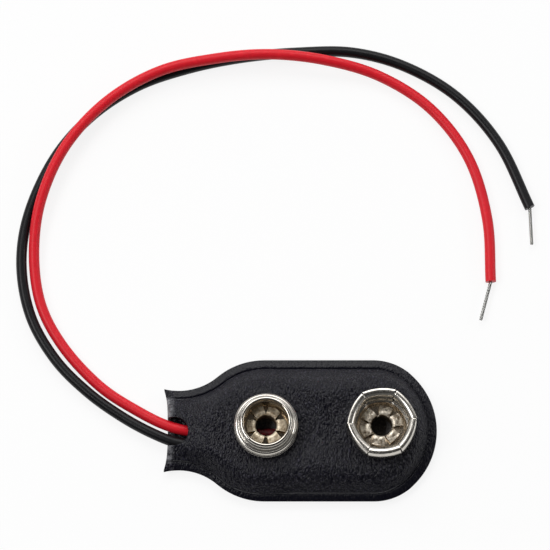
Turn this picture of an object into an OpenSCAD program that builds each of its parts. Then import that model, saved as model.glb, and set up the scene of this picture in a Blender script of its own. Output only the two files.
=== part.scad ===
// Snap connector for a 9 V block battery. A sheet of leatherette is folded over a fibre board
// and welded along three sides. Two eyelets rivet a round stud and a six-leaf socket to the board,
// and each eyelet clamps a solder tag that a thin lead is soldered to.
// +X runs from the fold, where the leads come out, to the round tip, and +Z is up.
// The origin is on the table under the middle of the cover. All sizes are in millimetres.

/* [Cover] */
// Length of the cover, from the corners of the fold to the tip
body_l = 30.2; // [29:0.1:34]
// Width of the cover over the welded edges
body_w = 16; // [15:0.1:18]
// Width of the neck at its narrowest place
neck_w = 9; // [8:0.1:10]
// Radius of the hollow curve from the neck to the shoulder
neck_r = 6.6; // [5.5:0.1:8]
// Distance from the fold to the narrowest place of the neck
neck_flare = 1.6; // [1.3:0.1:2]
// How much the tip's radius exceeds half the width
tip_flat = 0.6; // [0.3:0.1:1]
// How much the corner radius beside the tip falls short of half the width
corner_drop = 1.8; // [1:0.1:2.4]
// Thickness of the leatherette
sheet_t = 0.35; // [0.3:0.01:0.45]
// Width of the welded edge
weld_w = 1.1; // [0.8:0.05:1.3]
// Thickness of the welded edge, with both layers pressed together
weld_t = 0.65; // [0.55:0.01:0.7]
// Height of the welded edge above the table
weld_z = 0.5; // [0.35:0.01:0.6]
// Radius of the fold
fold_r = 0.9; // [0.8:0.05:1.1]
// How far the fold draws back between its welded corners
fold_sag = 0.4; // [0.2:0.05:0.6]
// Width of the hole that the leads come out of
exit_w = 3.2; // [3:0.1:4]
// Depth of that hole, measured from the fold
exit_depth = 2.3; // [2:0.1:3]
// How far that hole sits to the right of the middle, looking out of the fold
exit_offset = 0.3; // [0:0.05:0.5]

/* [Contacts] */
// Distance between the two contacts
pitch = 12.7; // [12.5:0.05:12.9]
// Distance from the tip to the middle of the socket
tip_margin = 6.2; // [6:0.05:7]
// Thickness of the contacts' sheet metal
metal_t = 0.3; // [0.24:0.01:0.34]
// Diameter of the stud's base
stud_base_d = 7.2; // [7:0.05:7.6]
// Diameter of the stud's bead, which a battery's socket grips
stud_d = 5.74; // [5.6:0.01:5.8]
// Diameter of the stud's waist, under the bead
stud_waist_d = 5.4; // [5.2:0.01:5.5]
// Height of the stud
stud_h = 2.6; // [2.5:0.05:3]
// Width of the socket at its widest, across opposite leaves
socket_d = 7.5; // [7.3:0.05:7.8]
// Width of the socket's six-sided throat, across the flats
throat_w = 5.68; // [5.5:0.01:5.8]
// Diameter of the socket's rolled lip, along its crest
lip_d = 6.9; // [6.7:0.05:7.1]
// Height of the socket
socket_h = 2.9; // [2.8:0.05:3.2]
// Width of the slits between the socket's leaves
slit_w = 0.25; // [0.15:0.01:0.4]

/* [Eyelets] */
// Outer diameter of an eyelet's barrel
barrel_d = 2.6; // [2.4:0.05:2.8]
// Bore of an eyelet
eyelet_bore = 2.2; // [2:0.05:2.3]
// Diameter of an eyelet's head
head_d = 4.2; // [3.8:0.1:4.6]
// Width of each of the six petals that an eyelet is spread into
petal_w = 1.25; // [1:0.05:1.3]
// Diameter over the ends of the petals
petal_d = 4.5; // [4:0.05:4.6]
// Height of the petals above the floor of their contact
petal_h = 0.6; // [0.5:0.05:0.8]

/* [Inside] */
// Width of the fibre board
board_w = 6.6; // [6:0.1:6.8]
// Thickness of the fibre board
board_t = 0.42; // [0.35:0.01:0.6]
// Distance from the middle of the stud to the near end of the board
board_end = 4.6; // [4.2:0.1:4.8]
// Thickness of a solder tag
tag_t = 0.15; // [0.1:0.01:0.25]
// Width of a solder tag's tail
tag_w = 1.7; // [1.5:0.1:2]
// Length of a solder tag, from the middle of its eyelet
tag_l = 4.5; // [4.2:0.1:4.8]
// Diameter of a solder joint
solder_d = 1.3; // [1:0.05:1.5]
// Room left round pieces that pass through or lie in others
fit_gap = 0.05; // [0.03:0.01:0.08]

/* [Leads] */
// Diameter of a lead over its insulation
lead_d = 1.2; // [1:0.05:1.3]
// Diameter of a lead's twisted core
core_d = 0.38; // [0.3:0.01:0.5]
// Length of core left bare on the red lead
red_bare_l = 4.7; // [3:0.1:8]
// Length of core left bare on the black lead
black_bare_l = 4.4; // [3:0.1:8]

/* [Hidden] */
$fn = 64;

// Plan of the cover
fold_x = -body_l / 2;
tip_x = body_l / 2;
shoulder_r = body_w / 2;
neck_c = [fold_x + neck_flare, neck_w / 2 + neck_r];
shoulder_x = neck_c.x + sqrt(pow(neck_r + shoulder_r, 2) - pow(neck_c.y, 2));
neck_sweep = atan2(shoulder_x - neck_c.x, neck_c.y);
tip_r = shoulder_r + tip_flat;
corner_r = shoulder_r - corner_drop;
corner_x = tip_x - tip_r + sqrt(pow(tip_r - corner_r, 2) - pow(corner_drop, 2));
corner_a = atan2(corner_drop, corner_x - tip_x + tip_r);

// Heights of the layers, from the table up
lead_z = sheet_t + fit_gap / 2 + lead_d / 2;
head_z = sheet_t + lead_d + fit_gap;
eyelet_t = (barrel_d - eyelet_bore) / 2;
tag_z = head_z + eyelet_t;
board_z = tag_z + tag_t;
body_h = board_z + board_t + sheet_t;
weld_top = weld_z + weld_t;

// How far the cover takes to rise from the weld to its flat top, on the neck, the sides and the tip
neck_run = 2.2;
side_run = 2.9;
tip_run = 1.7;
// Height of the cover over the leads in the neck, and the stretch in which it rises to the board
neck_h = lead_z + lead_d / 2 + sheet_t + 2 * fit_gap;
ramp_share = 0.78;
// Share of that rise where each ring of the cover's skin lies
ring_steps = [0, 0.12, 0.26, 0.44, 0.66, 1];
// Points between the two flat edges of the skin, so that the fold can curve
middle_steps = [0.25, 0.5, 0.75];
fold_step = 15;
arc_steps = 6;
// Turn of one step along a rounded section of sheet metal, and how close two points are one
arc_step = 12;
same_point = 0.001;

// Contacts
socket_x = tip_x - tip_margin;
stud_x = socket_x - pitch;
neck_ramp = ramp_share * (stud_x - board_end - neck_c.x);
rivet_hole_d = barrel_d + 2 * fit_gap;
stud_base_round = 0.4;
stud_skirt_r = 1;
stud_neck_r = 0.45;
stud_bead_l = 0.5;
stud_rim_round = 0.08;
// Length of the short bevel at either end of the bead's straight wall
bead_step = 0.02;
socket_base_round = 0.5;
socket_skirt_r = 1.1;
lip_end_a = 65;
leaves = 6;
petals = 6;
leaf_bow = 2;
leaf_sweep = 50;
// Turn of the socket's slits, and of the petals of each eyelet
socket_turn = 5;
stud_petal_turn = 0;
socket_petal_turn = 18;

// Solder tags and joints
stud_tag_turn = 205;
socket_tag_turn = 180;
tag_ring_d = head_d + 0.4;
pad_r = tag_l - tag_w / 2;
stud_pad = [stud_x + pad_r * cos(stud_tag_turn), pad_r * sin(stud_tag_turn)];
socket_pad = [socket_x + pad_r * cos(socket_tag_turn), pad_r * sin(socket_tag_turn)];
core_stub = 0.3;
lead_back = 1.7;

// Routes of the leads, from the solder joint to the bare end: x, y and the height of the underside
tube_sides = 8;
rings_between = 2;
inner_lift = lead_z - lead_d / 2;
red_start = [socket_pad.x - lead_back, socket_pad.y, inner_lift];
red_points = [
    red_start, red_start - [1.6, 0, 0], [-2, -0.4, inner_lift], [-7, -0.3, inner_lift],
    [-11, -0.2, inner_lift], [-14.4, 0.4, inner_lift], [-18, 2.2, 0.12], [-22.3, 5.1, 0.02],
    [-26.4, 9.6, 0.02], [-29, 14.6, 0.05], [-29.8, 20.6, 0.25], [-29, 26.6, 0.95], [-26.3, 32.7, 1.27],
    [-21.7, 37.9, 1.29], [-15.9, 41.4, 1.25], [-9.6, 42.9, 1.25], [-3.5, 43.4, 1.29], [2.8, 42.8, 1],
    [9.1, 41.1, 0.2], [14.8, 37.3, 0.04], [19, 31.5, 0.02], [21, 24.4, 0.02], [21.3, 17.1, 0.02]];
black_start = [stud_pad.x - lead_back, stud_pad.y, inner_lift];
black_points = [
    black_start, black_start - [1.6, 0, 0], [-13.2, -1.5, inner_lift], [-16, -0.5, 0.28],
    [-19.6, 1.5, 0.04], [-23.6, 4.4, 0.02], [-27.3, 8.2, 0.02], [-30.1, 13.2, 0.02], [-31.2, 19.2, 0.02],
    [-30.4, 25.2, 0.02], [-27.6, 31.6, 0.02], [-23.5, 36.5, 0.02], [-18.4, 40, 0.02], [-12.6, 42.1, 0.02],
    [-6.5, 43.4, 0.02], [-0.3, 44, 0.02], [6, 44, 0.02], [12, 42.3, 0.02], [17.8, 38.7, 0.02],
    [22.5, 33.1, 0.02], [25.8, 25.7, 0.02]];
// Direction in the plane of the table that each bare end points in
red_bare_a = 255;
black_bare_a = 272;

// A point and the direction inwards, on an arc of the cover's outline that bulges out or in
function on_bulge(c, r, a) = [c.x + r * cos(a), c.y + r * sin(a), -cos(a), -sin(a)];
function on_hollow(c, r, a) = [c.x + r * cos(a), c.y + r * sin(a), cos(a), sin(a)];
function on_flare(x) = [x, neck_c.y - sqrt(pow(neck_r, 2) - pow(x - neck_c.x, 2)), 0, -1];

// Half of the outline, from the fold to the tip; first is the angle round the fold that it starts at
function outline(first) = concat(
    [for (a = [first:fold_step:90]) on_flare(fold_x + fold_r * (1 - cos(a)))],
    [for (k = [0:arc_steps]) on_hollow(neck_c, neck_r, 270 + neck_sweep * k / arc_steps)],
    [for (k = [1:arc_steps]) on_bulge([shoulder_x, 0], shoulder_r, 90 + neck_sweep * (1 - k / arc_steps))],
    [for (k = [1:4]) [shoulder_x + (corner_x - shoulder_x) * k / 4, shoulder_r, 0, -1]],
    [for (k = [1:arc_steps]) on_bulge([corner_x, corner_drop], corner_r,
                                      90 + (corner_a - 90) * k / arc_steps)],
    [for (k = [1:arc_steps]) on_bulge([tip_x - tip_r, 0], tip_r, corner_a * (1 - k / arc_steps))]);

// Rise of the skin at x: round over the fold, low on the neck, full height over the board
function run_at(x) = lookup(x, [[neck_c.x, neck_run], [shoulder_x, side_run], [corner_x, side_run],
                                [tip_x, tip_run]]);
function ease(s) = let (u = min(max(s, 0), 1)) u * u * (3 - 2 * u);
function fold_share(x) = let (u = max(0, 1 - (x - fold_x) / fold_r)) sqrt(1 - u * u);
function full_h(x) = neck_h + (body_h - neck_h) * ease((x - neck_c.x) / neck_ramp);
function top_at(x, s) = weld_top + (full_h(x) - weld_top) * fold_share(x) * s;
function bottom_at(x, s) = weld_z * (1 - fold_share(x) * s);
function ring_share(u) = 1 - pow(1 - u, 2);
function drawn_back(x, y) = x + fold_sag * (1 - pow(min(abs(y) / (neck_w / 2), 1), 4))
                                * max(0, 1 - (x - fold_x) / neck_flare);

// One row of the skin, from the near edge of the outline to the far one: x, y and share of the rise
function half_row(st, insets, shares) = [for (k = [0:len(insets) - 1])
    [st[0] + st[2] * insets[k], st[1] + st[3] * insets[k], shares[k]]];
function mirrored(row) = [for (k = [len(row) - 1:-1:0]) [row[k][0], -row[k][1], row[k][2]]];
function whole_row(row) = let (e = row[len(row) - 1]) concat(
    row, [for (m = middle_steps) [e[0], e[1] * (1 - 2 * m), e[2]]], mirrored(row));
function skin_rows(first, steps, edge) = [for (st = outline(first))
    let (insets = concat(edge, [for (u = steps) weld_w + run_at(st[0]) * u]),
         shares = concat([for (e = edge) 0], [for (u = steps) ring_share(u)]))
    whole_row(half_row(st, insets, shares))];

// A closed cushion between an upper and a lower skin, each drawn in by inset
module cushion(first, steps, edge, inset) {
    rows = skin_rows(first, steps, edge);
    n = len(rows);
    m = len(rows[0]);
    half = (m - len(middle_steps)) / 2;
    upper = [for (row = rows) for (p = row) [drawn_back(p[0], p[1]), p[1], top_at(p[0], p[2]) - inset]];
    lower = [for (row = rows) for (p = row) [drawn_back(p[0], p[1]), p[1], bottom_at(p[0], p[2]) + inset]];
    // In the last row, on the tip, both halves share their points
    function at(i, k) = i * m + (i < n - 1 || k < half ? k : k < m - half ? half - 1 : m - 1 - k);
    function quad(a, b, c, d) = [for (f = [[c, b, a], [d, c, a]])
        if (f[0] != f[1] && f[1] != f[2] && f[2] != f[0]) f];
    top_faces = [for (i = [0:n - 2]) for (k = [0:m - 2])
        each quad(at(i, k), at(i, k + 1), at(i + 1, k + 1), at(i + 1, k))];
    bottom_faces = [for (f = top_faces) [f[2] + n * m, f[1] + n * m, f[0] + n * m]];
    rim = concat([for (k = [0:m - 1]) at(0, k)], [for (i = [1:n - 1]) at(i, m - 1)],
                 [for (i = [n - 2:-1:1]) at(i, 0)]);
    rim_faces = [for (k = [0:len(rim) - 1]) let (a = rim[k], b = rim[(k + 1) % len(rim)])
        each [[a + n * m, a, b], [b + n * m, a + n * m, b]]];
    polyhedron(concat(upper, lower), concat(top_faces, bottom_faces, rim_faces), convexity = 6);
}

// A sheet metal section: a path of radius and height, given its thickness to both sides
function arc(c, r, from, to) = let (n = ceil(abs(to - from) / arc_step)) [for (k = [0:n])
    let (a = from + (to - from) * k / n) c + r * [cos(a), sin(a)]];
function joined(path) = [for (k = [0:len(path) - 1])
    if (k == 0 || norm(path[k] - path[k - 1]) > same_point) path[k]];
function unit(v) = v / norm(v);
function side_of(path, k) = let (d = unit(path[min(k + 1, len(path) - 1)] - path[max(k - 1, 0)])) [-d.y, d.x];
function wall(line, t) = let (path = joined(line)) concat(
    [for (k = [0:len(path) - 1]) path[k] + side_of(path, k) * t / 2],
    [for (k = [len(path) - 1:-1:0]) path[k] - side_of(path, k) * t / 2]);

// Section of the stud: floor, base curl, round skirt, hollow neck, bead and rim
function stud_path() = let (
    base = stud_base_d / 2 - metal_t / 2,
    waist = stud_waist_d / 2 - metal_t / 2,
    bead = stud_d / 2 - metal_t / 2,
    neck = [waist + stud_neck_r, stud_h - stud_bead_l - bead + waist],
    skirt_x = base - stud_skirt_r,
    a = acos((neck.x - skirt_x) / (stud_skirt_r + stud_neck_r)),
    skirt = [skirt_x, neck.y - (stud_skirt_r + stud_neck_r) * sin(a)]) concat(
    [[rivet_hole_d / 2, metal_t / 2]],
    arc([base - stud_base_round, metal_t / 2 + stud_base_round], stud_base_round, -90, 0),
    arc(skirt, stud_skirt_r, 0, a),
    arc(neck, stud_neck_r, 180 + a, 180),
    [for (z = [0, bead_step, stud_bead_l - stud_rim_round - bead_step, stud_bead_l - stud_rim_round])
        [bead, stud_h - stud_bead_l + z]],
    [[bead - stud_rim_round, stud_h]]);

// Section of a leaf of the socket: base curl, round skirt, throat and rolled lip
function leaf_path() = let (
    base = socket_d / 2 - metal_t / 2,
    throat = throat_w / 2 + metal_t / 2,
    lip_r = lip_d / 2 - throat,
    lip = [throat + lip_r, socket_h - metal_t / 2 - lip_r],
    skirt_x = base - socket_skirt_r,
    a = acos((lip.x - skirt_x) / (socket_skirt_r + lip_r)),
    skirt = [skirt_x, lip.y - (socket_skirt_r + lip_r) * sin(a)]) concat(
    [[rivet_hole_d, metal_t / 2]],
    arc([base - socket_base_round, metal_t / 2 + socket_base_round], socket_base_round, -90, 0),
    arc(skirt, socket_skirt_r, 0, a),
    arc(lip, lip_r, 180 + a, lip_end_a));

module ring(d, bore, h) {
    difference() {
        cylinder(d = d, h = h);
        translate([0, 0, -h]) cylinder(d = bore, h = 3 * h);
    }
}

// An eyelet: head, barrel, and a mouth that is slit and rolled out into petals
module eyelet() {
    middle = (barrel_d + eyelet_bore) / 4;
    half_reach = (petal_d / 2 - eyelet_t / 2 - middle) / 2;
    rise = petal_h - eyelet_t / 2;
    floor_z = body_h + metal_t;
    roll = [for (k = [0:2 * arc_steps]) let (a = 180 - 90 * k / arc_steps)
        [middle + half_reach * (1 + cos(a)), floor_z + rise * sin(a)]];
    translate([0, 0, head_z]) ring(head_d, eyelet_bore, eyelet_t);
    translate([0, 0, head_z]) ring(barrel_d, eyelet_bore, floor_z - head_z);
    for (k = [0:petals - 1]) intersection() {
        rotate_extrude() polygon(wall(roll, eyelet_t));
        rotate([0, 0, 360 / petals * k]) translate([0, -petal_w / 2, floor_z])
            cube([petal_d, petal_w, 2 * petal_h]);
    }
}

// A solder tag: a ring with a round-ended tail
module tag(turn) {
    translate([0, 0, tag_z]) linear_extrude(tag_t) difference() {
        union() {
            circle(d = tag_ring_d);
            rotate(turn) translate([0, -tag_w / 2]) square([pad_r, tag_w]);
            rotate(turn) translate([pad_r, 0]) circle(d = tag_w);
        }
        circle(d = rivet_hole_d);
    }
}

// A smooth curve through given points, with its ends drawn on in a straight line
function spline(p0, p1, p2, p3, t) = 0.5 * (2 * p1 + (p2 - p0) * t
    + (2 * p0 - 5 * p1 + 4 * p2 - p3) * t * t + (3 * p1 - p0 - 3 * p2 + p3) * t * t * t);
function curve(p) = let (e = len(p) - 1) concat(
    [for (k = [0:e - 1]) for (s = [0:rings_between - 1])
        spline(k > 0 ? p[k - 1] : 2 * p[0] - p[1], p[k], p[k + 1],
               k < e - 1 ? p[k + 2] : 2 * p[e] - p[e - 1], s / rings_between)], [p[e]]);

// A tube along a path that lies nearly flat
module tube(path, d) {
    n = len(path);
    rings = [for (k = [0:n - 1])
        let (along = unit(path[min(k + 1, n - 1)] - path[max(k - 1, 0)]),
             side = unit(cross(along, [0, 0, 1])), up = cross(side, along))
        for (s = [0:tube_sides - 1]) let (a = 360 * (s + 0.5) / tube_sides)
            path[k] + d / 2 * (side * cos(a) + up * sin(a))];
    sides = [for (k = [0:n - 2]) for (s = [0:tube_sides - 1])
        let (a = k * tube_sides + s, b = k * tube_sides + (s + 1) % tube_sides)
        [a, b, b + tube_sides, a + tube_sides]];
    near_end = [for (s = [tube_sides - 1:-1:0]) s];
    far_end = [for (s = [0:tube_sides - 1]) (n - 1) * tube_sides + s];
    polyhedron(rings, concat(sides, [near_end, far_end]), convexity = 10);
}

// Middle line of a lead, from the points of its underside
function lead_path(points) = curve([for (p = points) [p[0], p[1], p[2] + lead_d / 2]]);

// The core inside the cover, from the cut insulation up to the solder tag
module inner_core(start, pad) {
    pad_z = tag_z - core_d / 2;
    tube([[start.x, start.y, lead_z], [start.x + core_stub, start.y, lead_z],
          [pad.x - solder_d / 2, pad.y, pad_z], [pad.x + core_d, pad.y, pad_z]], core_d);
}

module solder_joint(start, pad) {
    difference() {
        translate([pad.x, pad.y, tag_z]) intersection() {
            sphere(d = solder_d);
            translate([-solder_d, -solder_d, -solder_d]) cube([2 * solder_d, 2 * solder_d, solder_d]);
        }
        inner_core(start, pad);
    }
}

// The core that shows past a lead's far end, bent just outside the insulation
module bare_end(points, length, a) {
    path = lead_path(points);
    last = path[len(path) - 1];
    stub = last + core_stub * unit(last - path[len(path) - 2]);
    tube([last, stub, stub + (length - core_stub) * [cos(a), sin(a), 0]], core_d);
}

module cover() {
    hole_x = fold_x + fold_sag + exit_depth - exit_w / 2;
    color([0.1, 0.1, 0.11]) difference() {
        cushion(0, ring_steps, [0], 0);
        cushion(60, [for (k = [1:len(ring_steps) - 1]) ring_steps[k]], [], sheet_t);
        for (x = [stud_x, socket_x]) translate([x, 0, board_z]) cylinder(d = rivet_hole_d, h = body_h);
        translate([hole_x, -exit_offset, sheet_t]) cylinder(d = exit_w, h = body_h);
        translate([fold_x - exit_depth, -exit_offset - exit_w / 2, sheet_t])
            cube([hole_x - fold_x + exit_depth, exit_w, body_h]);
    }
}

// The board is a round-ended strip, trimmed to the flat top of the cover where the neck is close
module insulator_board() {
    end_x = stud_x - board_end + board_w / 2;
    flat_top = [for (st = outline(90)) let (inset = weld_w + run_at(st[0]) + fit_gap)
        [st[0] + st[2] * inset, st[1] + st[3] * inset]];
    other_side = [for (k = [len(flat_top) - 2:-1:0]) [flat_top[k].x, -flat_top[k].y]];
    color([0.36, 0.24, 0.14]) translate([0, 0, board_z]) linear_extrude(board_t) difference() {
        intersection() {
            union() {
                translate([end_x, 0]) circle(d = board_w);
                translate([socket_x, 0]) circle(d = board_w);
                translate([end_x, -board_w / 2]) square([socket_x - end_x, board_w]);
            }
            polygon(concat(flat_top, other_side));
        }
        for (x = [stud_x, socket_x]) translate([x, 0]) circle(d = rivet_hole_d);
    }
}

module stud_contact() {
    color([0.78, 0.77, 0.74]) translate([stud_x, 0, body_h])
        rotate_extrude() polygon(wall(stud_path(), metal_t));
}

module socket_contact() {
    half = 180 / leaves;
    reach = socket_d;
    color([0.78, 0.77, 0.74]) translate([socket_x, 0, body_h]) {
        ring(socket_d - 2 * socket_base_round - metal_t, rivet_hole_d, metal_t);
        for (k = [0:leaves - 1]) rotate([0, 0, socket_turn + half * (2 * k + 1)]) intersection() {
            translate([-leaf_bow, 0, 0]) rotate([0, 0, -leaf_sweep / 2]) rotate_extrude(angle = leaf_sweep)
                translate([leaf_bow, 0]) polygon(wall(leaf_path(), metal_t));
            linear_extrude(2 * socket_h) translate([slit_w / 2 / sin(half), 0])
                polygon([[0, 0], [reach, -reach * tan(half)], [reach, reach * tan(half)]]);
        }
    }
}

module stud_eyelet() {
    color([0.72, 0.66, 0.52]) translate([stud_x, 0, 0]) rotate([0, 0, stud_petal_turn]) eyelet();
}

module socket_eyelet() {
    color([0.72, 0.66, 0.52]) translate([socket_x, 0, 0]) rotate([0, 0, socket_petal_turn]) eyelet();
}

module stud_tag() { color([0.7, 0.7, 0.68]) translate([stud_x, 0, 0]) tag(stud_tag_turn); }
module socket_tag() { color([0.7, 0.7, 0.68]) translate([socket_x, 0, 0]) tag(socket_tag_turn); }
module stud_solder() { color([0.66, 0.67, 0.69]) solder_joint(black_start, stud_pad); }
module socket_solder() { color([0.66, 0.67, 0.69]) solder_joint(red_start, socket_pad); }
module red_lead() { color([0.82, 0.1, 0.15]) tube(lead_path(red_points), lead_d); }
module red_inner_core() { color([0.7, 0.7, 0.7]) inner_core(red_start, socket_pad); }
module red_bare_end() { color([0.7, 0.7, 0.7]) bare_end(red_points, red_bare_l, red_bare_a); }
module black_lead() { color([0.08, 0.08, 0.09]) tube(lead_path(black_points), lead_d); }
module black_inner_core() { color([0.7, 0.7, 0.7]) inner_core(black_start, stud_pad); }
module black_bare_end() { color([0.7, 0.7, 0.7]) bare_end(black_points, black_bare_l, black_bare_a); }

cover();
insulator_board();
stud_contact();
socket_contact();
stud_eyelet();
socket_eyelet();
stud_tag();
socket_tag();
stud_solder();
socket_solder();
red_lead();
red_inner_core();
red_bare_end();
black_lead();
black_inner_core();
black_bare_end();
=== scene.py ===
import math

import bpy
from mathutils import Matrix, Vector, noise


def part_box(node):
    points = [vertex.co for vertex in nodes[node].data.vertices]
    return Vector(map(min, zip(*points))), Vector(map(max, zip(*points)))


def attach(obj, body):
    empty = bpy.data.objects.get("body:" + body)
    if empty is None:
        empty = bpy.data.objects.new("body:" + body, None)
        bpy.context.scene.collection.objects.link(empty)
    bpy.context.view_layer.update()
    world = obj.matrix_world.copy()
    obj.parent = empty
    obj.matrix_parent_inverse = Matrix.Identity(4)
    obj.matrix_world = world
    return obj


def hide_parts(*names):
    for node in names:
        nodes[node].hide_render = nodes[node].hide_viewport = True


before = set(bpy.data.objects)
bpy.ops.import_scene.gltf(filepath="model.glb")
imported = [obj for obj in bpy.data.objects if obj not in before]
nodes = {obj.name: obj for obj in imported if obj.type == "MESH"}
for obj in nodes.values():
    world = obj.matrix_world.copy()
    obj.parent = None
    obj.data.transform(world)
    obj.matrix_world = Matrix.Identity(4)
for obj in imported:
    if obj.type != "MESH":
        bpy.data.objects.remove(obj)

scene = bpy.context.scene
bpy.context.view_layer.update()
mm = 0.001                       # pieces are drawn in millimetres and shrunk to metres at the end
print("frame: loaded", len(nodes), "nodes")


# small helpers that every piece uses

meshSpec = {"mergeGap": 0.0005, "sliver": 0.001, "edgeSegments": 2, "edgeAngle": 50.0}


def leaveEdit():
    bpy.ops.object.mode_set(mode="OBJECT")


def deselectAll():
    if bpy.context.mode != "OBJECT":
        leaveEdit()
    bpy.ops.object.select_all(action="DESELECT")


def pick(piece):
    deselectAll()
    piece.select_set(True)
    bpy.context.view_layer.objects.active = piece


def editAll(piece):
    pick(piece)
    bpy.ops.object.mode_set(mode="EDIT")
    bpy.ops.mesh.select_all(action="SELECT")


# merges points that meet and turns the faces one way
def closeMesh(gap, inside=False):
    bpy.ops.mesh.select_all(action="SELECT")
    bpy.ops.mesh.remove_doubles(threshold=gap)
    bpy.ops.mesh.normals_make_consistent(inside=inside)
    leaveEdit()


def applyModifiers(piece):
    pick(piece)
    for name in [m.name for m in piece.modifiers]:
        bpy.ops.object.modifier_apply(modifier=name)


def applyPlace():
    bpy.ops.object.transform_apply(location=True, rotation=True, scale=True)


def turnPiece(piece, angle):
    piece.rotation_euler = (0, 0, angle)
    applyPlace()


def joinPieces(first, others):
    pick(first)
    for other in others:
        other.select_set(True)
    bpy.ops.object.join()
    return first


def shadeBy(piece, degrees):
    pick(piece)
    bpy.ops.object.shade_smooth_by_angle(angle=math.radians(degrees))


def settle(piece, name, standsFor, place=(0, 0, 0)):
    piece.name = name
    piece.data.name = name
    pick(piece)
    piece.location = Vector(place) * mm
    piece.scale = (mm, mm, mm)
    applyPlace()
    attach(piece, "root")
    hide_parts(standsFor)
    print("piece:", name, "with", len(piece.data.polygons), "faces")


def middleOf(node):
    low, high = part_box(node)
    return (low + high) / 2 / mm


def undersideOf(node):
    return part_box(node)[0].z / mm


def easeBetween(low, high, value):
    u = min(max((value - low) / (high - low), 0.0), 1.0)
    return u * u * (3 - 2 * u)


def arcPoints(cx, cz, radius, start, end, steps):
    turns = [math.radians(start + (end - start) * k / steps) for k in range(steps + 1)]
    return [(cx + radius * math.cos(a), cz + radius * math.sin(a)) for a in turns]


# a chain of edges in the XZ plane, drawn by extruding one point
def drawProfile(points):
    deselectAll()
    bpy.ops.mesh.primitive_plane_add(size=1, location=(0, 0, 0))
    piece = bpy.context.object
    editAll(piece)
    bpy.ops.mesh.merge(type="CENTER")
    bpy.ops.transform.translate(value=(points[0][0], 0, points[0][1]))
    for (x0, z0), (x1, z1) in zip(points, points[1:]):
        bpy.ops.mesh.extrude_region_move(TRANSFORM_OT_translate={"value": (x1 - x0, 0, z1 - z0)})
    leaveEdit()
    return piece


def spinProfile(piece, steps, degrees=360.0, start=0.0, axisX=0.0):
    editAll(piece)
    centre = (axisX, 0, 0)
    if start:
        bpy.ops.transform.rotate(value=-math.radians(start), orient_axis="Z", center_override=centre)
    bpy.ops.mesh.spin(steps=steps, angle=math.radians(degrees), center=centre, axis=(0, 0, 1), dupli=False)
    closeMesh(meshSpec["mergeGap"])


# thickens a sheet to both sides and rounds its edges
def giveWall(piece, thickness, rounding):
    wall = piece.modifiers.new("wall", "SOLIDIFY")
    wall.thickness = thickness
    wall.offset = 0
    wall.use_even_offset = True
    edges = piece.modifiers.new("edges", "BEVEL")
    edges.width = rounding
    edges.segments = meshSpec["edgeSegments"]
    edges.limit_method = "ANGLE"
    edges.angle_limit = math.radians(meshSpec["edgeAngle"])
    applyModifiers(piece)
    editAll(piece)
    bpy.ops.mesh.dissolve_degenerate(threshold=meshSpec["sliver"])
    leaveEdit()


# camera, at the angle and distance of the picture; the clip is in metres

viewSpec = {
    "target": (-2.82, 18.04, 0.0), "distance": 450.0, "elevation": 75.0, "lens": 263.0, "sensor": 36.0,
    "clip": (0.01, 20.0),
}


def addCamera(spec):
    tilt = math.radians(90 - spec["elevation"])
    back = Vector((0, -math.sin(tilt), math.cos(tilt))) * spec["distance"]
    bpy.ops.object.camera_add(location=(Vector(spec["target"]) + back) * mm, rotation=(tilt, 0, 0))
    camera = bpy.context.object
    camera.name = "pictureCamera"
    camera.data.lens = spec["lens"]
    camera.data.sensor_width = spec["sensor"]
    camera.data.clip_start, camera.data.clip_end = spec["clip"]
    scene.camera = camera


addCamera(viewSpec)
print("camera: set")


# leads: x, y and the height of the underside, from the solder joint to the stripped end

insulation = {"diameter": 1.2, "alongSteps": 10, "roundSteps": 6}
redLead = {
    **insulation, "length": 126.0, "exit": (-14.8, 0.6, 0.95), "bareLength": 4.6, "bareHeading": 255.0,
    "route": [
        (3.55, 0, 0.375), (1.95, 0, 0.375), (-2, -0.4, 0.375), (-7, -0.3, 0.375), (-11, -0.2, 0.375),
        (-14.4, 0.4, 0.375), (-18, 2.2, 0.12), (-22.3, 5.1, 0.02), (-26.4, 9.6, 0.02), (-29, 14.6, 0.05),
        (-29.8, 20.6, 0.25), (-29, 26.6, 0.95), (-26.3, 32.7, 1.27), (-21.7, 37.9, 1.29),
        (-15.9, 41.4, 1.25), (-9.6, 42.9, 1.25), (-3.5, 43.4, 1.29), (2.8, 42.8, 1), (9.1, 41.1, 0.2),
        (14.8, 37.3, 0.04), (19, 31.5, 0.02), (21, 24.4, 0.02), (21.3, 17.1, 0.02)],
}
blackLead = {
    **insulation, "length": 112.9, "exit": (-14.8, -0.95, 0.95), "bareLength": 4.3, "bareHeading": 272.0,
    "route": [
        (-8.81, -1.54, 0.375), (-10.41, -1.54, 0.375), (-13.2, -1.5, 0.375), (-16, -0.5, 0.28),
        (-19.6, 1.5, 0.04), (-23.6, 4.4, 0.02), (-27.3, 8.2, 0.02), (-30.1, 13.2, 0.02), (-31.2, 19.2, 0.02),
        (-30.4, 25.2, 0.02), (-27.6, 31.6, 0.02), (-23.5, 36.5, 0.02), (-18.4, 40, 0.02), (-12.6, 42.1, 0.02),
        (-6.5, 43.4, 0.02), (-0.3, 44, 0.02), (6, 44, 0.02), (12, 42.3, 0.02), (17.8, 38.7, 0.02),
        (22.5, 33.1, 0.02), (25.8, 25.7, 0.02)],
}


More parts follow.
